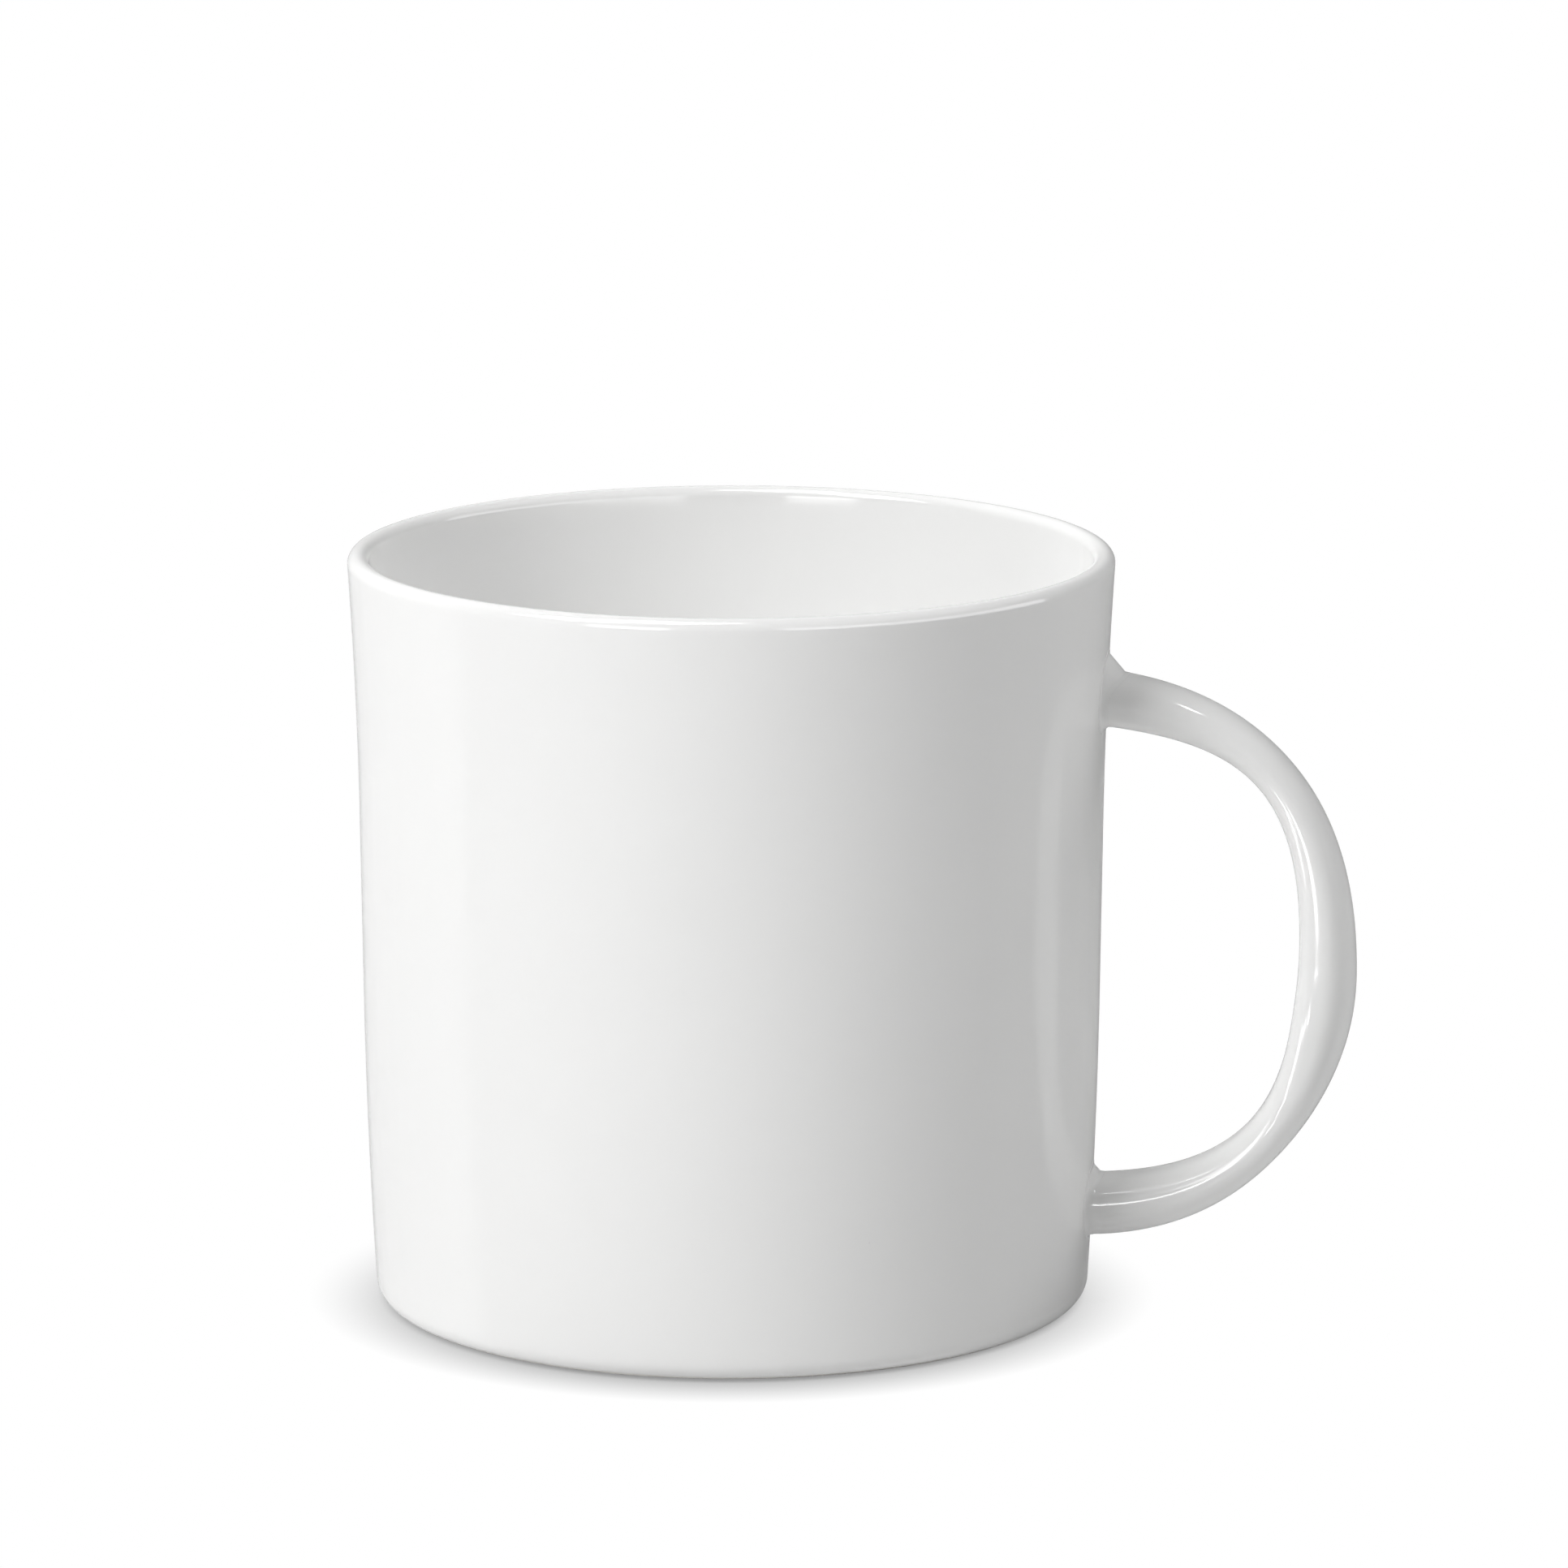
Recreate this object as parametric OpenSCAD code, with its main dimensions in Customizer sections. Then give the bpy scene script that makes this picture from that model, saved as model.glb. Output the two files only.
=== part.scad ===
// Porcelain mug with a loop handle.
// The cup is formed in one piece, with a rounded lip, a wall that widens gently upwards and a
// foot ring. The handle is a separate casting, rounder outside than in. Its two ends are mitred to the
// curve of the wall and luted on with clay slip, which is worked into a soft fillet round each.
// Frame: millimetres, origin on the cup's axis at the table, +Z up, handle towards +X.

/* [Cup] */
// Height from the table to the lip
cup_h = 85; // [72:1:110]
// Outer diameter at the lip
rim_d = 85.5; // [76:0.5:100]
// Outer diameter of the wall where it would meet the table if the heel were sharp
base_d = 80.2; // [70:0.2:92]
// How far the flared rim stands out beyond the straight wall
rim_flare = 0.8; // [0:0.1:3]
// Height of the flared zone below the lip
flare_h = 30; // [15:1:40]
// How far the wall turns in at its base
base_tuck = 0.8; // [0:0.1:3]
// Height of the turned-in zone above the table
tuck_h = 35; // [15:1:45]

/* [Wall] */
// Thickness of the lip, which is rounded over its whole width
lip_t = 2.4; // [1.8:0.1:4]
// Thickness of the wall where it joins the floor
wall_t = 3.8; // [2.4:0.1:6]
// Thickness of the floor above the recess under the cup
floor_t = 4.6; // [2.5:0.1:7]
// Radius of the curve from the inside wall to the floor
floor_fillet_r = 9; // [3:0.5:16]

/* [Foot] */
// Radius of the rounded heel
heel_r = 2.2; // [1:0.1:4]
// Width of the flat ring that the cup stands on
foot_w = 2.8; // [2:0.1:6]
// Height of the recess inside the foot ring
recess_h = 1.6; // [0.8:0.1:3]

/* [Handle loop] */
// Depth of the upper end's middle below the lip
upper_end_drop = 15.7; // [12:0.1:24]
// Height of the lower end's middle above the table
lower_end_rise = 11.2; // [8:0.1:18]
// Room for the fingers between the wall and the grip
finger_gap = 22.4; // [18:0.2:32]
// How far the grip's outermost point lies below the middle of the two ends
grip_drop = 0; // [-4:0.1:6]
// Angle at which the upper arm leaves the wall, downwards from level
upper_arm_slope = 6.5; // [-4:0.5:20]
// Angle at which the lower arm leaves the wall, upwards from level
lower_arm_slope = 2; // [-4:0.5:20]
// Fullness of the upper corner beside the wall, 0.3 tight to 0.8 full
upper_arm_fullness = 0.61; // [0.3:0.01:0.8]
// Fullness of the upper corner beside the grip
upper_grip_fullness = 0.69; // [0.4:0.01:0.9]
// Fullness of the lower corner beside the grip
lower_grip_fullness = 0.41; // [0.3:0.01:0.8]
// Fullness of the lower corner beside the wall
lower_arm_fullness = 0.83; // [0.4:0.01:0.9]

/* [Handle section] */
// Thickness of the upper end, across the loop
upper_end_t = 6; // [4:0.1:9]
// Thickness of the upper neck
upper_neck_t = 4.4; // [3:0.1:7]
// Thickness of the grip
grip_t = 6.6; // [4:0.1:10]
// Thickness of the lower neck
lower_neck_t = 4.9; // [3:0.1:7]
// Thickness of the lower end
lower_end_t = 6.7; // [4:0.1:9]
// Width of both ends
end_w = 9.2; // [7:0.2:18]
// Width of both necks
neck_w = 8.6; // [6:0.2:16]
// Width of the grip
grip_w = 11.4; // [7:0.2:18]
// Roundness of the strap's outer face, 2 being an ellipse and more being squarer
outer_face_power = 2.1; // [2:0.1:3.5]
// Roundness of the inner face along both arms
inner_arm_power = 2.6; // [2:0.1:4]
// Roundness of the inner face at the grip, where it is flattened for the fingers
inner_grip_power = 3.6; // [2:0.1:6]
// Share of the strap's thickness that lies between its widest line and its inner face
inner_share = 0.44; // [0.3:0.02:0.6]

/* [Luted joints] */
// Thickness of the slip between the wall and the mitred ends
slip_t = 0.3; // [0.15:0.05:0.8]
// Fillet above the upper end
upper_fillet_top = 2.4; // [0.6:0.1:4]
// Fillet under the upper end
upper_fillet_under = 1; // [0.4:0.1:3]
// Fillet above the lower end
lower_fillet_top = 1.4; // [0.4:0.1:3]
// Fillet under the lower end
lower_fillet_under = 0.5; // [0.3:0.1:2]
// Fillet beside both ends
fillet_side = 0.8; // [0.4:0.1:3]

/* [Hidden] */

// Slack between faces that are stuck together, so that the solids touch without overlapping
seat_gap = 0.02;
// Thickness of a fillet's worked-out edge
feather_t = 0.06;

round_steps = 180; // segments round the cup
strap_sides = 32; // points round the strap
strap_rings = 60; // sections along the strap
wall_steps = 24; // stretches up the wall
fillet_steps = 7; // stretches across a fillet's hollow face
cap_rings = 4; // rings from an end's outline to its middle

// ---- Wall ----

lip_r = lip_t / 2;
// The wall's outer diameter is rim_d at the widest height of the lip
lip_z = cup_h - lip_r;

function flare_at(z) = rim_flare * pow(max(0, z - (cup_h - flare_h)) / flare_h, 2);
function tuck_at(z) = base_tuck * pow(max(0, tuck_h - z) / tuck_h, 2);

wall_foot_r = base_d / 2 + base_tuck;
wall_slope = (rim_d / 2 - flare_at(lip_z) + tuck_at(lip_z) - wall_foot_r) / lip_z;

// Outer radius of the cup at a height, and how fast it grows there
function wall_r(z) = wall_foot_r + wall_slope * z + flare_at(z) - tuck_at(z);
function wall_growth(z) = (wall_r(z + 0.5) - wall_r(z - 0.5));
// Factor between a thickness square to the wall and the same thickness measured level
function level(z) = sqrt(1 + pow(wall_growth(z), 2));

// Height of the floor inside the cup
floor_z = recess_h + floor_t;

function thickness_at(z) = lip_t + (wall_t - lip_t) * (lip_z - z) / (lip_z - floor_z);
function inner_r(z) = wall_r(z) - thickness_at(z) * level(z);

// Where a circle that rounds an edge touches the wall: side 1 outside, -1 inside
function touch(centre, r, z, side) =
    centre + r * side / level(z) * [1, -wall_growth(z)];

lip_centre = [rim_d / 2 - lip_r * level(lip_z), lip_z];
heel_centre = [wall_r(heel_r) - heel_r * level(heel_r), heel_r];
fillet_z = floor_z + floor_fillet_r;
fillet_centre = [inner_r(fillet_z) - floor_fillet_r * level(fillet_z), fillet_z];
recess_centre = [heel_centre[0] - foot_w - recess_h, 0];

lip_outside = touch(lip_centre, lip_r, lip_z, 1);
lip_inside = touch(lip_centre, lip_r, lip_z, -1);
heel_top = touch(heel_centre, heel_r, heel_r, 1);
fillet_top = touch(fillet_centre, floor_fillet_r, fillet_z, 1);

function between(a, b, steps) = [for (i = [1 : steps - 1]) a + (b - a) * i / steps];

module wall_section() {
    polygon([
        [0, recess_h],
        recess_centre + [0, recess_h],
        recess_centre + [recess_h, 0],
        [heel_centre[0], 0],
        heel_top,
        for (z = between(heel_top[1], lip_outside[1], wall_steps)) [wall_r(z), z],
        lip_outside,
        lip_inside,
        for (z = between(lip_inside[1], fillet_top[1], wall_steps)) [inner_r(z), z],
        fillet_top,
        [fillet_centre[0], floor_z],
        [0, floor_z]
    ]);
}

module cup_body() {
    color("white")
    rotate_extrude($fn = round_steps)
    difference() {
        union() {
            wall_section();
            translate(lip_centre) circle(r = lip_r, $fn = 48);
            translate(heel_centre) circle(r = heel_r, $fn = 48);
        }
        translate(fillet_centre) circle(r = floor_fillet_r, $fn = 96);
        translate(recess_centre) circle(r = recess_h, $fn = 48);
    }
}

// ---- Path of the handle, in the plane of its loop: [out from the axis, up] ----

upper_z = cup_h - upper_end_drop;
lower_z = lower_end_rise;
grip_z = (upper_z + lower_z) / 2 - grip_drop;
reach = finger_gap + grip_t / 2;

upper_end = [wall_r(upper_z), upper_z];
lower_end = [wall_r(lower_z), lower_z];
grip_point = [wall_r(grip_z) + reach, grip_z];

upper_curve = [
    upper_end,
    upper_end + reach * upper_arm_fullness * [cos(upper_arm_slope), -sin(upper_arm_slope)],
    grip_point + [0, (upper_z - grip_z) * upper_grip_fullness],
    grip_point
];
lower_curve = [
    grip_point,
    grip_point - [0, (grip_z - lower_z) * lower_grip_fullness],
    lower_end + reach * lower_arm_fullness * [cos(lower_arm_slope), sin(lower_arm_slope)],
    lower_end
];

function cubic(c, t) =
    pow(1 - t, 3) * c[0] + 3 * pow(1 - t, 2) * t * c[1] + 3 * (1 - t) * t * t * c[2]
    + pow(t, 3) * c[3];
function cubic_way(c, t) =
    pow(1 - t, 2) * (c[1] - c[0]) + 2 * (1 - t) * t * (c[2] - c[1]) + t * t * (c[3] - c[2]);
function unit(v) = v / norm(v);

// Place s along the handle runs from 0 at the upper end, over 1 at the grip, to 2 at the lower
// end, and a little past both ends into the wall
function path_at(s) = s < 1 ? cubic(upper_curve, s) : cubic(lower_curve, s - 1);
function way_at(s) = unit(s < 1 ? cubic_way(upper_curve, s) : cubic_way(lower_curve, s - 1));
// Square to the path, away from the fingers
function out_at(s) = [-way_at(s)[1], way_at(s)[0]];

// ---- Section of the handle ----

// Places of the necks and the fullest grip along the handle
stations = [0, 0.5, 1.14, 1.57, 2];
thicknesses = [upper_end_t, upper_neck_t, grip_t, lower_neck_t, lower_end_t];
widths = [end_w, neck_w, grip_w, neck_w, end_w];
inner_powers =
    [inner_arm_power, inner_arm_power, inner_grip_power, inner_arm_power, inner_arm_power];

function ease(t) = t * t * (3 - 2 * t);
// A size along the handle, eased from each station to the next
function eased(sizes, s, i = 0) =
    s <= stations[0] ? sizes[0] :
    i == len(stations) - 1 ? sizes[i] :
    s <= stations[i + 1] ?
        sizes[i] + (sizes[i + 1] - sizes[i])
            * ease((s - stations[i]) / (stations[i + 1] - stations[i])) :
    eased(sizes, s, i + 1);

function face_power(s, a) = cos(a) > 0 ? outer_face_power : eased(inner_powers, s);
function signed_power(v, e) = sign(v) * pow(abs(v), e);
// Distance from the strap's widest line to its outer or inner face, whichever angle a is on
function depth_at(s, a) =
    eased(thicknesses, s) * (cos(a) > 0 ? 1 - inner_share : inner_share);
// How far the widest line lies outwards of the middle of the thickness
function widest_at(s) = eased(thicknesses, s) * (inner_share - 0.5);
// Point of the section at angle a, 0 being outwards and 90 the left side, grown by a skin
function section_at(s, a, skin) = [
    widest_at(s) + (depth_at(s, a) + skin) * signed_power(cos(a), 2 / face_power(s, a)),
    (eased(widths, s) / 2 + skin) * signed_power(sin(a), 2 / face_power(s, a))
];
// The direction that the section faces at angle a
function section_facing(s, a) = unit([
    signed_power(cos(a), 2 - 2 / face_power(s, a)) / depth_at(s, a),
    signed_power(sin(a), 2 - 2 / face_power(s, a)) / (eased(widths, s) / 2)
]);

// Turns a point or direction [out, side] of the section at s into space
function in_space(s, v) = [v[0] * out_at(s)[0], v[1], v[0] * out_at(s)[1]];
function strap_point(s, a, skin = 0) =
    [path_at(s)[0], 0, path_at(s)[1]] + in_space(s, section_at(s, a, skin));

// ---- Where the handle meets the wall ----

// Angles round the strap, in the sense that turns a skin's faces outwards
function side_angles(sense) = [for (i = [0 : strap_sides - 1]) sense * i * 360 / strap_sides];
// Farthest place past an end, inside the wall or out along the arm, where a mitre may fall
mitre_search = 0.2;

function beyond_wall(p, gap) = norm([p[0], p[1]]) - wall_r(p[2]) - gap;
// Halves the stretch from inside the wall to outside it until it has shrunk to the crossing
function crossing(inside, outside, a, gap, skin, n = 22) =
    n == 0 ? (inside + outside) / 2 :
    beyond_wall(strap_point((inside + outside) / 2, a, skin), gap) > 0 ?
        crossing(inside, (inside + outside) / 2, a, gap, skin, n - 1) :
        crossing((inside + outside) / 2, outside, a, gap, skin, n - 1);
// Place along the handle where the line at angle a comes within a gap of the wall
function mitre(end, a, gap, skin = 0) =
    crossing(end - inwards(end) * mitre_search, end + inwards(end) * mitre_search, a, gap, skin);
// Sense in which s runs from an end into the handle
function inwards(end) = end == 0 ? 1 : -1;

// Slides a point level, along X, onto the wall grown by a gap
function onto_wall(p, gap) = [sqrt(pow(wall_r(p[2]) + gap, 2) - p[1] * p[1]), p[1], p[2]];

function end_middle(end, gap) =
    onto_wall([path_at(end)[0], 0, path_at(end)[1]], gap);
// Rings on the wall from near the middle of an end out to its outline
function end_rings(end, outline, gap) = [
    for (k = [1 : cap_rings - 1])
        let (middle = end_middle(end, gap))
        [for (p = outline) onto_wall(middle + (p - middle) * k / cap_rings, gap)]
];

// ---- Closed skins ----

function reversed(rows) = [for (i = [len(rows) - 1 : -1 : 0]) rows[i]];
function joined(rows) = [for (row = rows) each row];

// A closed solid whose skin runs from one point over a row of rings to a last point
module skin(first, rings, last) {
    n = len(rings[0]);
    m = len(rings);
    last_i = n * m + 1;
    polyhedron(
        points = [first, each joined(rings), last],
        faces = [
            for (j = [0 : n - 1]) [0, 1 + j, 1 + (j + 1) % n],
            for (i = [0 : m - 2], j = [0 : n - 1])
                [1 + i * n + j, 1 + (i + 1) * n + j, 1 + i * n + (j + 1) % n],
            for (i = [0 : m - 2], j = [0 : n - 1])
                [1 + i * n + (j + 1) % n, 1 + (i + 1) * n + j, 1 + (i + 1) * n + (j + 1) % n],
            for (j = [0 : n - 1]) [last_i, 1 + (m - 1) * n + (j + 1) % n, 1 + (m - 1) * n + j]
        ]
    );
}

// ---- Handle ----

module handle() {
    angles = side_angles(-1);
    upper_mitre = [for (a = angles) mitre(0, a, slip_t)];
    lower_mitre = [for (a = angles) mitre(2, a, slip_t)];
    strap = [
        for (i = [0 : strap_rings])
            [for (j = [0 : strap_sides - 1])
                strap_point(
                    upper_mitre[j] + (lower_mitre[j] - upper_mitre[j]) * i / strap_rings,
                    angles[j])]
    ];
    color("whitesmoke")
    skin(
        end_middle(0, slip_t),
        [
            each end_rings(0, strap[0], slip_t),
            each strap,
            each reversed(end_rings(2, strap[strap_rings], slip_t))
        ],
        end_middle(2, slip_t));
}

// ---- Luted joints ----

// Size of the fillet at angle a, from its sizes on the outer and inner face of the strap
function fillet_at(a, outer, inner) =
    fillet_side + (outer - fillet_side) * pow(max(0, cos(a)), 2)
    + (inner - fillet_side) * pow(max(0, -cos(a)), 2);
// Place on the strap a length up from the wall
function up_strap(end, a, from, length) =
    from + inwards(end) * length / norm(path_at(end + inwards(end) * 0.01) - path_at(end)) / 100;

// One line of the joint's skin at angle a: under the end from its outline, out over the wall,
// back up the fillet's hollow face and down the strap to the mitred end
function joint_line(end, a, outer, inner) =
    let (
        size = fillet_at(a, outer, inner),
        edge = seat_gap + feather_t,
        foot = strap_point(mitre(end, a, seat_gap), a),
        spread = in_space(end, section_facing(end, a)),
        rim = onto_wall(foot + size * spread, edge),
        corner = strap_point(mitre(end, a, edge, edge), a, edge),
        top_s = up_strap(end, a, mitre(end, a, edge, edge), size),
        top = strap_point(top_s, a, edge),
        mitred_s = mitre(end, a, slip_t - seat_gap, seat_gap)
    )
    [
        foot,
        onto_wall(foot + size / 2 * spread, seat_gap),
        onto_wall(foot + size * spread, seat_gap),
        for (i = [0 : fillet_steps])
            let (t = i / fillet_steps)
            pow(1 - t, 2) * rim + 2 * t * (1 - t) * corner + t * t * top,
        strap_point(top_s, a, seat_gap),
        strap_point((top_s + mitred_s) / 2, a, seat_gap),
        strap_point(mitred_s, a, seat_gap)
    ];

module luted_joint(end, outer, inner) {
    lines = [for (a = side_angles(-inwards(end))) joint_line(end, a, outer, inner)];
    rows = len(lines[0]);
    rings = [for (k = [0 : rows - 1]) [for (line = lines) line[k]]];
    pad_top = slip_t - seat_gap;
    skin(
        end_middle(end, seat_gap),
        [
            each end_rings(end, rings[0], seat_gap),
            each rings,
            each reversed(end_rings(end, rings[rows - 1], pad_top))
        ],
        end_middle(end, pad_top));
}

module upper_luted_joint() {
    color("gainsboro") luted_joint(0, upper_fillet_top, upper_fillet_under);
}

module lower_luted_joint() {
    color("gainsboro") luted_joint(2, lower_fillet_under, lower_fillet_top);
}

cup_body();
handle();
upper_luted_joint();
lower_luted_joint();
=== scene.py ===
import math

import bpy
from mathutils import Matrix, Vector


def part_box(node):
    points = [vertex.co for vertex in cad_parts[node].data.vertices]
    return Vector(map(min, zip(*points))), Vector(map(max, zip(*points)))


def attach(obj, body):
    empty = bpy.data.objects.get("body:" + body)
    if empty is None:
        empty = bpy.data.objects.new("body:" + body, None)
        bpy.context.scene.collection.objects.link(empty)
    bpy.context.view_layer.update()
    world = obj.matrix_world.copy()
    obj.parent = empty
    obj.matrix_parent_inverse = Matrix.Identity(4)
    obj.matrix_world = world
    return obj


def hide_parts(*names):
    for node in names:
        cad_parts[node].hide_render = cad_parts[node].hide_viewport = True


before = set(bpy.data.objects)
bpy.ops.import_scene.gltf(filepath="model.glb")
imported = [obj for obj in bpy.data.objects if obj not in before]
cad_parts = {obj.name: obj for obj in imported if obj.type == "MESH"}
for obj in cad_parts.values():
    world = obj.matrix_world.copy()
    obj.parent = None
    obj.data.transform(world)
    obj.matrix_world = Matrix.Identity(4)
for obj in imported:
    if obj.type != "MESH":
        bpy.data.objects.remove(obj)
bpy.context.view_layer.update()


# ---- The cup ----
# One piece of white porcelain, jiggered on a wheel, with a rounded lip and a foot ring turned
# underneath. A clear glossy glaze runs over it inside and out. Only the flat of the ring is wiped
# bare, so that it doesn't stick to the kiln shelf.

_, cup_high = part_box("cup_body")
lip_top = cup_high.z
rim_radius = cup_high.x
base_radius = 0.0401
lip_thickness = 0.0024
wall_thickness = 0.0038
floor_top = 0.0062
flare_size, flare_height = 0.0008, 0.030
tuck_size, tuck_height = 0.0008, 0.035
recess_height = 0.0016
heel_rounding = 0.0022
ring_width = 0.0028
inside_rounding = 0.009

lip_rounding = lip_thickness / 2
lip_centre_z = lip_top - lip_rounding


def flare(z):
    """How far the rim stands out, over the top of the wall."""
    return flare_size * (max(0, z - (lip_top - flare_height)) / flare_height) ** 2


def tuck(z):
    """How far the base turns in, over the bottom of the wall."""
    return tuck_size * (max(0, tuck_height - z) / tuck_height) ** 2


wall_slant = (rim_radius - flare(lip_centre_z) - base_radius - tuck(0)) / lip_centre_z


def wall_radius(z):
    """Outside radius of the cup at a height."""
    return base_radius + tuck(0) + wall_slant * z + flare(z) - tuck(z)


def slant(z):
    """Angle of the outside from upright."""
    step = 0.0005
    return math.atan((wall_radius(z + step) - wall_radius(z - step)) / (2 * step))


def inside_radius(z):
    """Inside radius, where the wall thickens from the lip down to the floor."""
    down = (lip_centre_z - z) / (lip_centre_z - floor_top)
    thickness = lip_thickness + (wall_thickness - lip_thickness) * down
    return wall_radius(z) - thickness / math.cos(slant(z))


def arc(x, z, radius, start, end, steps):
    """Points of a rounding in the cup's profile, between two angles in degrees."""
    turns = [math.radians(start + (end - start) * i / steps) for i in range(steps + 1)]
    return [(x + radius * math.cos(t), z + radius * math.sin(t)) for t in turns]


def up_wall(radius, low, high, steps):
    """Points along a wall, both ends left out."""
    heights = [low + (high - low) * i / steps for i in range(1, steps)]
    return [(radius(z), z) for z in heights]


def nothing_selected():
    """Leaves edit mode and deselects everything, since operators work on what is selected."""
    if bpy.context.object and bpy.context.object.mode != "OBJECT":
        bpy.ops.object.mode_set(mode="OBJECT")
    bpy.ops.object.select_all(action="DESELECT")


def throw(name, profile, steps):
    """Turns a profile of (radius, height) round the axis, as a wheel does."""
    nothing_selected()
    x, z = profile[0]
    bpy.ops.mesh.primitive_plane_add(size=0.001, location=(0, 0, 0))
    piece = bpy.context.object
    piece.name = piece.data.name = name
    bpy.ops.object.mode_set(mode="EDIT")
    bpy.ops.mesh.select_all(action="SELECT")
    bpy.ops.mesh.merge(type="CENTER")
    bpy.ops.transform.translate(value=(x, 0, z))
    for (x0, z0), (x1, z1) in zip(profile, profile[1:]):
        bpy.ops.mesh.extrude_region_move(TRANSFORM_OT_translate={"value": (x1 - x0, 0, z1 - z0)})
    bpy.ops.mesh.select_all(action="SELECT")
    bpy.ops.mesh.spin(steps=steps, angle=2 * math.pi, center=(0, 0, 0), axis=(0, 0, 1))
    bpy.ops.mesh.select_all(action="SELECT")
    bpy.ops.mesh.remove_doubles(threshold=0.000002)
    bpy.ops.mesh.normals_make_consistent(inside=False)
    bpy.ops.object.mode_set(mode="OBJECT")
    return piece


heel_x = wall_radius(heel_rounding) - heel_rounding / math.cos(slant(heel_rounding))
recess_x = heel_x - ring_width - recess_height
ring_edge = 0.0003
edge_x = recess_x + math.sqrt((recess_height + ring_edge) ** 2 - ring_edge ** 2)
edge_turn = math.degrees(math.atan2(ring_edge, edge_x - recess_x))
lip_x = rim_radius - lip_rounding / math.cos(slant(lip_centre_z))
lip_turn = math.degrees(slant(lip_centre_z))
inside_z = floor_top + inside_rounding
inside_x = inside_radius(inside_z) - inside_rounding / math.cos(slant(inside_z))
inside_turn = math.degrees(slant(inside_z))
heel_turn = math.degrees(slant(heel_rounding))

profile = [
    (0, recess_height), (0.012, recess_height), (0.026, recess_height),
    *arc(recess_x, 0, recess_height, 90, edge_turn, 8),
    *arc(edge_x, ring_edge, ring_edge, 180 + edge_turn, 270, 6)[1:],
    *arc(heel_x, heel_rounding, heel_rounding, 270, 360 - heel_turn, 16),
    *up_wall(wall_radius, heel_rounding, lip_centre_z, 48),
    *arc(lip_x, lip_centre_z, lip_rounding, -lip_turn, 180 - lip_turn, 24),
    *up_wall(inside_radius, lip_centre_z, inside_z, 40),
    *arc(inside_x, inside_z, inside_rounding, -inside_turn, -90, 20),
    (0.020, floor_top), (0.010, floor_top), (0, floor_top),
]

cup = throw("cup", profile, 240)
bpy.ops.object.shade_smooth_by_angle(angle=math.radians(40))


class Wire:
    """A value carried by a socket. Arithmetic on it adds Math nodes."""

    def __init__(self, finish, socket):
        self.finish = finish
        self.socket = socket

    def math(self, operation, *values):
        return self.finish.node("ShaderNodeMath", {"operation": operation}, dict(enumerate(values)))

    def __add__(self, other):
        return self.math("ADD", self, other)

    def __sub__(self, other):
        return self.math("SUBTRACT", self, other)

    def __rsub__(self, other):
        return self.math("SUBTRACT", other, self)

    def __mul__(self, other):
        return self.math("MULTIPLY", self, other)

    __radd__ = __add__

    def to_power(self, power):
        return self.math("POWER", self, power)

    def rising(self, low, high):
        """0 up to the low value, easing to 1 from the high one."""
        return self.finish.node("ShaderNodeMapRange", {"interpolation_type": "SMOOTHSTEP"}, {
            "Value": self, "From Min": low, "From Max": high})


class Finish:
    """One finish, whose nodes are all added here."""

    def __init__(self, tree):
        self.tree = tree
        self.tree.nodes.clear()

    def node(self, kind, settings, values, output=0):
        made = self.tree.nodes.new(kind)
        for name, setting in settings.items():
            setattr(made, name, setting)
        for name, value in values.items():
            if isinstance(value, Wire):
                self.tree.links.new(value.socket, made.inputs[name])
            else:
                made.inputs[name].default_value = value
        return Wire(self, made.outputs[output]) if made.outputs else None

    def mixed(self, share, first, second):
        """A colour between two, by the share of the second."""
        return self.node("ShaderNodeMix", {"data_type": "RGBA"}, {0: share, 6: first, 7: second}, 2)


def new_finish(name):
    material = bpy.data.materials.new(name)
    material.use_nodes = True
    return material, Finish(material.node_tree)


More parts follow.
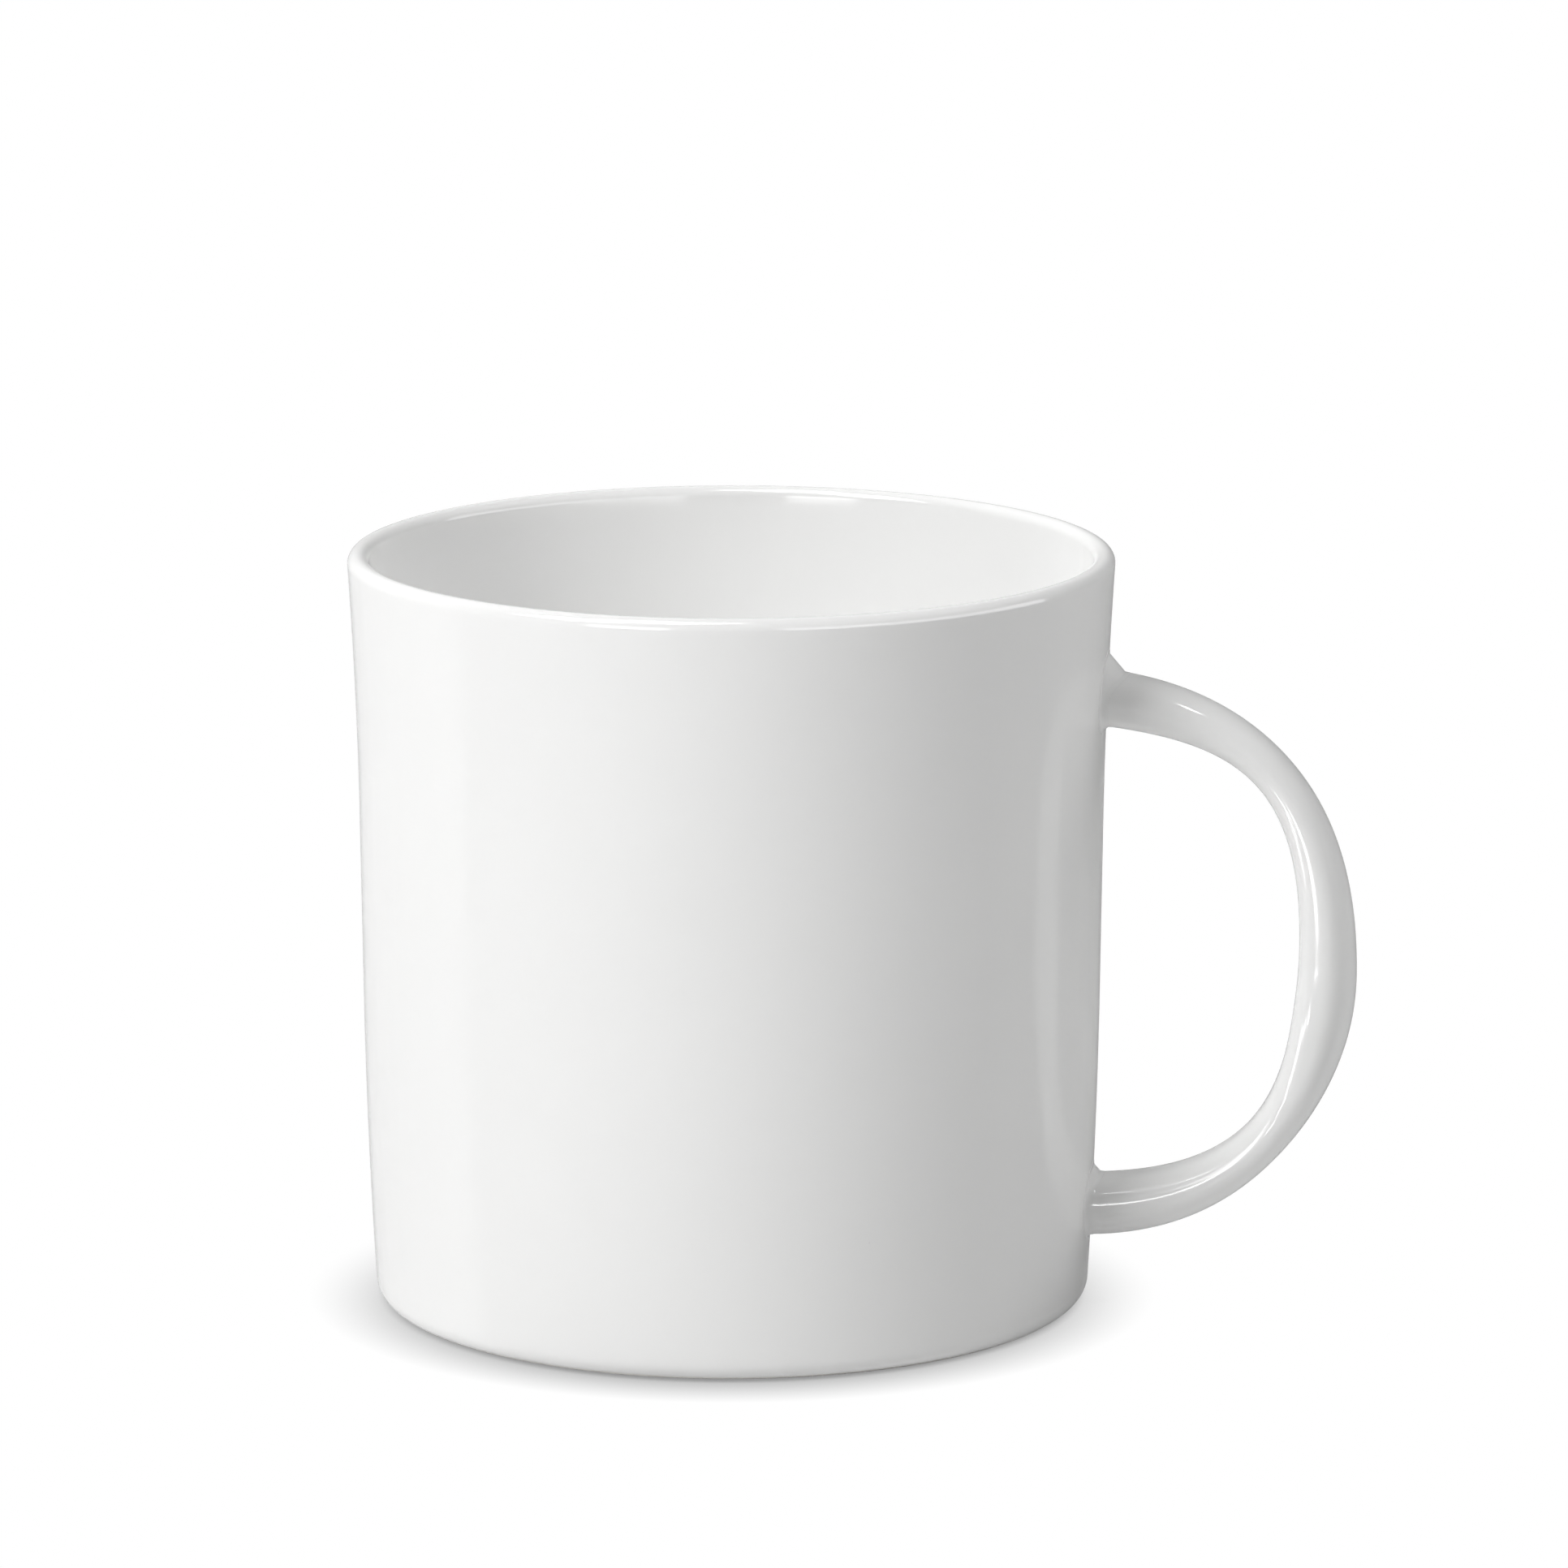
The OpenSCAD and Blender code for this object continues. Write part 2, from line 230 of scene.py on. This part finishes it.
def glaze(name, bare_below):
    """Clear glossy glaze over white porcelain. It leaves bare what lies below a height."""
    material, finish = new_finish(name)
    place = finish.node("ShaderNodeTexCoord", {}, {}, "Object")
    height = finish.node("ShaderNodeSeparateXYZ", {}, {"Vector": place}, "Z")
    bare = 1 - height.rising(bare_below, bare_below + 0.0002)

    # The glaze lies in soft waves a few millimetres long, as it froze, with a few pinholes.
    waves = finish.node("ShaderNodeTexNoise", {}, {
        "Vector": place, "Scale": 210.0, "Detail": 1.5, "Roughness": 0.4})
    cells = finish.node("ShaderNodeTexVoronoi", {"feature": "F1"}, {
        "Vector": place, "Scale": 150.0, "Randomness": 1.0})
    picked = finish.node("ShaderNodeTexVoronoi", {"feature": "F1"}, {
        "Vector": place, "Scale": 150.0, "Randomness": 1.0}, "Color")
    chosen = finish.node("ShaderNodeSeparateColor", {}, {"Color": picked}, "Red").rising(0.93, 0.94)
    pinhole = (1 - cells.rising(0.008, 0.02)) * chosen * (1 - bare)
    grain = finish.node("ShaderNodeTexNoise", {}, {
        "Vector": place, "Scale": 3500.0, "Detail": 3.0, "Roughness": 0.6})
    relief = waves * (1 - bare) - pinhole * 0.5 + grain * bare * 0.8
    surface = finish.node("ShaderNodeBump", {}, {
        "Strength": 1.0, "Distance": 0.000012, "Height": relief})

    # The porcelain under it varies by a hair's breadth of tone from place to place.
    cloud = finish.node("ShaderNodeTexNoise", {}, {
        "Vector": place, "Scale": 45.0, "Detail": 3.0, "Roughness": 0.5})
    glazed = finish.mixed(cloud, (0.852, 0.852, 0.847, 1), (0.870, 0.870, 0.865, 1))
    clay = finish.mixed(grain, (0.72, 0.705, 0.675, 1), (0.80, 0.785, 0.755, 1))
    colour = finish.mixed(bare, glazed, clay)
    colour = finish.mixed(pinhole * 0.25, colour, (0.62, 0.61, 0.59, 1))

    shader = finish.node("ShaderNodeBsdfPrincipled", {}, {
        "Base Color": colour,
        "Roughness": 0.09 + cloud * 0.02 + bare * 0.6,
        "IOR": 1.5,
        "Normal": surface,
    })
    finish.node("ShaderNodeOutputMaterial", {}, {"Surface": shader})
    return material


cup.data.materials.append(glaze("glazed porcelain", 0.0004))
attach(cup, "root")
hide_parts("cup_body")


# ---- The handle ----
# A strap of the same porcelain, slip-cast by itself in a two-part mould, fettled and bent into a
# loop for two or three fingers. It is slimmest beside the cup and fullest at the grip, and its
# two ends are mitred to the curve of the wall.

_, handle_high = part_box("handle")
upper_end_drop, lower_end_rise = 0.0157, 0.0112
upper_arm_fullness, upper_grip_fullness = 0.61, 0.69
lower_grip_fullness, lower_arm_fullness = 0.41, 0.83
downhill, uphill = math.radians(6.5), math.radians(2)
upper_end_z = lip_top - upper_end_drop
lower_end_z = lower_end_rise
grip_z = (upper_end_z + lower_end_z) / 2
grip_thickness = 0.0066
grip_x = handle_high.x - grip_thickness / 2
inner_share = 0.44
reach = grip_x - wall_radius(grip_z)

upper_end = Vector((wall_radius(upper_end_z), 0, upper_end_z))
grip = Vector((grip_x, 0, grip_z))
lower_end = Vector((wall_radius(lower_end_z), 0, lower_end_z))
upper_arm = (
    upper_end,
    upper_end + reach * upper_arm_fullness * Vector((math.cos(downhill), 0, -math.sin(downhill))),
    grip + Vector((0, 0, (upper_end_z - grip_z) * upper_grip_fullness)),
    grip,
)
lower_arm = (
    grip,
    grip - Vector((0, 0, (grip_z - lower_end_z) * lower_grip_fullness)),
    lower_end + reach * lower_arm_fullness * Vector((math.cos(uphill), 0, math.sin(uphill))),
    lower_end,
)


def along(s):
    """The middle of the strap, from 0 at the upper end over 1 at the grip to 2 at the lower end."""
    a, b, c, d = upper_arm if s < 1 else lower_arm
    t = s if s < 1 else s - 1
    return a * (1 - t) ** 3 + b * 3 * t * (1 - t) ** 2 + c * 3 * t * t * (1 - t) + d * t ** 3


def heading(s):
    """The way the strap runs there."""
    a, b, c, d = upper_arm if s < 1 else lower_arm
    t = s if s < 1 else s - 1
    return ((b - a) * (1 - t) ** 2 + (c - b) * 2 * t * (1 - t) + (d - c) * t * t).normalized()


def outward(s):
    """Square to the strap, away from the fingers."""
    way = heading(s)
    return Vector((-way.z, 0, way.x))


def eased(sizes, s):
    """A size of the strap, eased from one stop to the next."""
    stops = (0, 0.5, 1.14, 1.57, 2)
    s = min(max(s, 0), 2)
    i = max(j for j in range(4) if s >= stops[j])
    t = (s - stops[i]) / (stops[i + 1] - stops[i])
    return sizes[i] + (sizes[i + 1] - sizes[i]) * t * t * (3 - 2 * t)


def strap_thickness(s):
    return eased((0.0060, 0.0044, grip_thickness, 0.0049, 0.0067), s)


def strap_width(s):
    return eased((0.0092, 0.0086, 0.0114, 0.0086, 0.0092), s)


def roundness(s, turn):
    """2 is an ellipse. The face towards the fingers is flattened at the grip."""
    return 2.1 if math.cos(turn) > 0 else eased((2.6, 2.6, 3.6, 2.6, 2.6), s)


def depth(s, turn):
    """From the strap's widest line, a little inside its middle, to its outer or inner face."""
    return strap_thickness(s) * (1 - inner_share if math.cos(turn) > 0 else inner_share)


def bulge(value, power):
    return math.copysign(abs(value) ** power, value)


def on_strap(s, turn, skin=0):
    """A point of the strap's surface, grown by a skin. Turn 0 is the middle of the outer face."""
    power = 2 / roundness(s, turn)
    out = (depth(s, turn) + skin) * bulge(math.cos(turn), power)
    out -= strap_thickness(s) * (0.5 - inner_share)
    side = (strap_width(s) / 2 + skin) * bulge(math.sin(turn), power)
    return along(s) + outward(s) * out + Vector((0, side, 0))


def mitre(end, turn, gap, skin=0):
    """The place along the strap at which one line of it comes within a gap of the wall."""
    inward, search = 1 if end == 0 else -1, 0.2
    buried, clear = end - inward * search, end + inward * search
    for _ in range(30):
        middle = (buried + clear) / 2
        p = on_strap(middle, turn, skin)
        if math.hypot(p.x, p.y) > wall_radius(p.z) + gap:
            clear = middle
        else:
            buried = middle
    return (buried + clear) / 2


def rolled(name, around, along_count):
    """A tube of rings, standing on the axis, ready for its rings to be laid in place."""
    nothing_selected()
    bpy.ops.mesh.primitive_circle_add(vertices=around, radius=0.005, location=(0, 0, 0))
    piece = bpy.context.object
    piece.name = piece.data.name = name
    bpy.ops.object.mode_set(mode="EDIT")
    bpy.ops.mesh.select_all(action="SELECT")
    for _ in range(along_count - 1):
        bpy.ops.mesh.extrude_region_move(TRANSFORM_OT_translate={"value": (0, 0, 0.001)})
    bpy.ops.object.mode_set(mode="OBJECT")
    return piece


def lay(piece, rings):
    """Lays each ring of a rolled tube in its place."""
    count = len(rings[0])
    for i, ring in enumerate(rings):
        for j, point in enumerate(ring):
            piece.data.vertices[i * count + j].co = point
    piece.data.update()


def close_and_smooth(piece):
    """Closes the open ends of a tube, turns its faces outwards and smooths it."""
    nothing_selected()
    piece.select_set(True)
    bpy.context.view_layer.objects.active = piece
    bpy.ops.object.mode_set(mode="EDIT")
    bpy.ops.mesh.select_mode(type="EDGE")
    bpy.ops.mesh.select_all(action="DESELECT")
    bpy.ops.mesh.select_non_manifold()
    bpy.ops.mesh.fill()
    bpy.ops.mesh.select_all(action="SELECT")
    bpy.ops.mesh.normals_make_consistent(inside=False)
    bpy.ops.object.mode_set(mode="OBJECT")
    bpy.ops.object.shade_smooth_by_angle(angle=math.radians(40))


slip_gap = 0.0003
turns = [2 * math.pi * i / 96 for i in range(96)]
strap_rings = 120
first = [mitre(0, turn, slip_gap) for turn in turns]
last = [mitre(2, turn, slip_gap) for turn in turns]
handle = rolled("handle_strap", len(turns), strap_rings + 1)
lay(handle, [
    [on_strap(a + (b - a) * i / strap_rings, turn) for a, b, turn in zip(first, last, turns)]
    for i in range(strap_rings + 1)])
close_and_smooth(handle)
handle.data.materials.append(glaze("glazed porcelain strap", -1))
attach(handle, "root")
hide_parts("handle")


# ---- The luted joints ----
# Each mitred end is scored, wetted and pressed onto the leather-hard wall with clay slip. What
# squeezes out is sponged into a hollow fillet, broadest above the upper end, and the whole is
# glazed over, so that no seam is left open.

slip_touch = 0.00002
slip_skin = 0.00003
sunk_edge = -0.0004


def onto_wall(p, gap):
    """Slides a point level onto the wall, or to a gap off it."""
    return Vector((math.sqrt((wall_radius(p.z) + gap) ** 2 - p.y ** 2), p.y, p.z))


def spread_way(end, turn):
    """The way that the strap's surface faces at its end, along which the slip spreads."""
    power = roundness(end, turn)
    out = bulge(math.cos(turn), 2 - 2 / power) / depth(end, turn)
    side = bulge(math.sin(turn), 2 - 2 / power) / (strap_width(end) / 2)
    return (outward(end) * out + Vector((0, side, 0))).normalized()


def fillet_size(turn, outer, inner, side=0.0008):
    across = math.cos(turn)
    return side + (outer - side) * max(0, across) ** 2 + (inner - side) * max(0, -across) ** 2


def joint_line(end, turn, outer, inner, steps=24):
    """The fillet's hollow face at one turn, from the wall onto the strap, both edges sunk."""
    size = fillet_size(turn, outer, inner)
    inward = 1 if end == 0 else -1
    step = 0.01
    pace = (along(end + inward * step) - along(end)).length / step
    foot = on_strap(mitre(end, turn, slip_touch), turn)
    rim = onto_wall(foot + size * spread_way(end, turn), slip_skin)
    corner_s = mitre(end, turn, slip_skin, slip_skin)
    corner = on_strap(corner_s, turn, slip_skin)
    top_s = corner_s + inward * size / pace
    top = on_strap(top_s, turn, slip_skin)
    hollow = [
        rim * (1 - t) ** 2 + corner * 2 * t * (1 - t) + top * t * t
        for t in (i / steps for i in range(steps + 1))]
    return [onto_wall(rim, sunk_edge), *hollow, on_strap(top_s, turn, sunk_edge)]


def luted_joint(name, end, outer, inner):
    lines = [joint_line(end, turn, outer, inner) for turn in turns]
    piece = rolled(name, len(turns), len(lines[0]))
    lay(piece, [[line[k] for line in lines] for k in range(len(lines[0]))])
    close_and_smooth(piece)
    return piece


slip_glaze = glaze("glazed slip", -1)
upper_joint = luted_joint("upper_slip_fillet", 0, 0.0024, 0.0010)
lower_joint = luted_joint("lower_slip_fillet", 2, 0.0005, 0.0014)
for joint, node in ((upper_joint, "upper_luted_joint"), (lower_joint, "lower_luted_joint")):
    joint.data.materials.append(slip_glaze)
    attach(joint, "root")
    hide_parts(node)


# ---- Camera ----
# A long lens, a metre off and raised enough to look in over the lip. It stands a little to the
# handle's side, so that the loop is turned slightly towards it.

camera = bpy.data.objects.new("camera", bpy.data.cameras.new("camera"))
bpy.context.scene.collection.objects.link(camera)
camera.data.sensor_width = 36
camera.data.lens = 204.5
camera_turn = math.radians(7.5)
camera_rise = math.radians(12.654)
camera_away = 1.0006
back = Vector((
    math.sin(camera_turn) * math.cos(camera_rise),
    -math.cos(camera_turn) * math.cos(camera_rise),
    math.sin(camera_rise)))
mug_middle = Vector((0, 0, lip_top / 2))
camera.location = mug_middle + back * camera_away
level = Vector((math.cos(camera_turn), math.sin(camera_turn), 0))
aim_right, aim_up = 0.00588, 0.01548
aim = mug_middle + level * aim_right + back.cross(level) * aim_up
camera.rotation_mode = "QUATERNION"
camera.rotation_quaternion = (camera.location - aim).to_track_quat("Z", "Y")
bpy.context.scene.camera = camera


# ---- The table ----
# A broad sheet of pale board. It lights the mug from below as a plain matt sheet does. The camera
# sees it as white emission with a painted shadow close round the foot: dark emission mixed in where
# an occlusion test finds the mug near, most in front, as that test is leaned back and up.

nothing_selected()
bpy.ops.mesh.primitive_circle_add(vertices=96, radius=1.6, fill_type="NGON", location=(0, 0, 0))
table = bpy.context.object
table.name = table.data.name = "table_sheet"
table.visible_glossy = False
table_material, finish = new_finish("pale board with painted shadow")
ray = finish.node("ShaderNodeLightPath", {}, {}, "Is Camera Ray")
painted_shadow_lean = math.radians(34.8)
painted_shadow_tilt = finish.node("ShaderNodeCombineXYZ", {}, {
    "X": -math.sin(camera_turn) * math.sin(painted_shadow_lean),
    "Y": math.cos(camera_turn) * math.sin(painted_shadow_lean),
    "Z": math.cos(painted_shadow_lean)})
# Painted shadow: an occlusion test, leaned towards the back, mixes dark emission into the white the
# camera sees.
painted_shadow_ao = finish.node("ShaderNodeAmbientOcclusion", {"samples": 16}, {
    "Distance": 0.008, "Normal": painted_shadow_tilt}, "AO")
board = finish.node("ShaderNodeBsdfDiffuse", {}, {"Color": (0.80, 0.80, 0.80, 1)})
white = finish.node("ShaderNodeEmission", {}, {"Color": (1, 1, 1, 1), "Strength": 1.0})
painted_shadow = finish.node("ShaderNodeEmission", {}, {"Color": (0.03, 0.03, 0.03, 1), "Strength": 1.0})
seen_with_painted_shadow = finish.node("ShaderNodeMixShader", {}, {0: painted_shadow_ao.to_power(0.5), 1: painted_shadow, 2: white})
finish.node("ShaderNodeOutputMaterial", {}, {
    "Surface": finish.node("ShaderNodeMixShader", {}, {0: ray, 1: board, 2: seen_with_painted_shadow})})
table.data.materials.append(table_material)


# ---- Light ----
# The studio's walls behind the mug show in the glaze at grazing angles, the left one brighter
# than the right. Softboxes light the porcelain, the key from the left of the camera, and are kept
# out of the glaze. Others show in the glaze alone, some of them only in the cup's or the handle's.

world = bpy.data.worlds.new("studio")
bpy.context.scene.world = world
world.use_nodes = True
finish = Finish(world.node_tree)
camera_ray = finish.node("ShaderNodeLightPath", {}, {}, "Is Camera Ray")
glossy_ray = finish.node("ShaderNodeLightPath", {}, {}, "Is Glossy Ray")
clear_ray = finish.node("ShaderNodeLightPath", {}, {}, "Is Transmission Ray")
way = finish.node("ShaderNodeTexCoord", {}, {}, "Generated")
to_right, to_back = (
    finish.node("ShaderNodeVectorMath", {"operation": "DOT_PRODUCT"}, {0: way, 1: side}, "Value")
    for side in (level, level.cross(Vector((0, 0, -1)))))
dark, left_wall, right_wall, white = (
    finish.node("ShaderNodeBackground", {}, {"Color": (1, 1, 1, 1), "Strength": strength})
    for strength in (0.0, 0.70, 0.30, 1.0))
walls = finish.node("ShaderNodeMixShader", {}, {
    0: to_right.rising(-0.35, 0.1), 1: left_wall, 2: right_wall})
mirrored = finish.node("ShaderNodeMixShader", {}, {
    0: glossy_ray * to_back.rising(-0.05, 0.05), 1: dark, 2: walls})
finish.node("ShaderNodeOutputWorld", {}, {
    "Surface": finish.node("ShaderNodeMixShader", {}, {
        0: camera_ray + clear_ray, 1: mirrored, 2: white})})

mug_alone = bpy.data.collections.new("mug alone")
for piece in (cup, handle):
    mug_alone.objects.link(piece)


def softbox(name, turn, rise, power, shows_in="porcelain", width=0.5, height=0.5, only_on=None):
    """A softbox turned about the mug from the camera's side and raised, in degrees. One that
    falls only on the cup or the handle is shaded by these alone, and so not by the table."""
    a, e = camera_turn + math.radians(turn), math.radians(rise)
    middle, away = Vector((0, 0, 0.045)), 1.2
    back = Vector((math.sin(a) * math.cos(e), -math.cos(a) * math.cos(e), math.sin(e)))
    light = bpy.data.lights.new(name, "AREA")
    light.shape = "RECTANGLE"
    light.size = width
    light.size_y = height
    light.energy = power
    made = bpy.data.objects.new(name, light)
    made.location = middle + back * away
    made.rotation_euler = back.to_track_quat("Z", "Y").to_euler()
    made.visible_camera = False
    made.visible_glossy = shows_in == "glaze"
    made.visible_diffuse = shows_in == "porcelain"
    bpy.context.scene.collection.objects.link(made)
    if only_on:
        lit = bpy.data.collections.new(name + " falls on")
        lit.objects.link(only_on)
        made.light_linking.receiver_collection = lit
        made.light_linking.blocker_collection = mug_alone


softbox("key_left", -45, 40, 10.5)
softbox("side_left", -60, 30, 1.1)
softbox("fill_right", 30, 30, 1.4)
softbox("overhead_right", 45, 72, 1.1)
softbox("back_left", -150, 30, 7.7)
softbox("back_far_left", -120, 30, 1.4)
softbox("back_right_high", 100, 50, 2.9)
softbox("back_right", 120, 30, 2.3)
softbox("gloss_overhead", -45, 72, 11.4, "glaze")
softbox("gloss_left_high", -60, 50, 12.4, "glaze")
softbox("gloss_left", -30, 8, 4.5, "glaze")
for turn in (30, 60, 90):
    softbox("gloss_right", turn, 8, 3.8, "glaze", 0.64, 0.5, cup)
for turn, rise in (
        (-22, -14), (-34, -16), (-46, -17), (-56, -16), (-52, 4),
        (-44, 8), (-36, 8), (-28, 5), (-20, 1), (-13, -4)):
    softbox("glint_low", turn, rise, 0.75, "glaze", 0.12, 0.12, handle)
softbox("glint_high", 75, 66, 1.1, "glaze", 0.12, 0.12, handle)

bpy.context.scene.view_settings.view_transform = "Standard"
